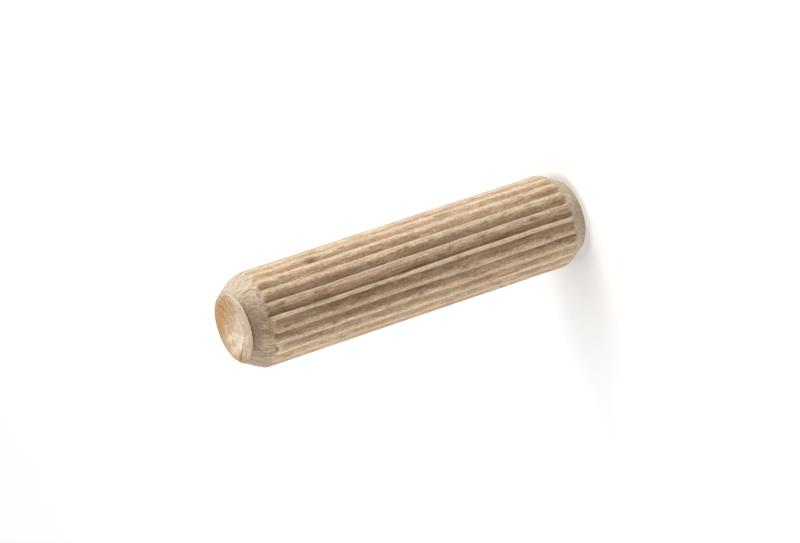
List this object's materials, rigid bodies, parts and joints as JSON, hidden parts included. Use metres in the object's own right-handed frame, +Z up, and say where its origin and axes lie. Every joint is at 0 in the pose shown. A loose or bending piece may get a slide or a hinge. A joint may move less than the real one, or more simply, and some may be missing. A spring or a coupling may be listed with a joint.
{
  "type": "wooden dowel pin",
  "caption": "Fluted wooden dowel pin with chamfered, slightly dished ends: glued into matching round holes, it locates and joins two pieces of furniture board.",
  "frame": {"origin": "centre of the end that the pin stands on, in the plane of that end's rim", "axes": "+Z up the pin's axis to its other end; +X through the middle of one flute"},
  "size_m": [0.01, 0.01, 0.04],
  "materials": {
    "beech_wood": "bare, fluted and chamfered, slightly fuzzy along the cut fibres"
  },
  "bodies": {
    "root": {"dowel_pin": "beech_wood"}
  },
  "joints": []
}
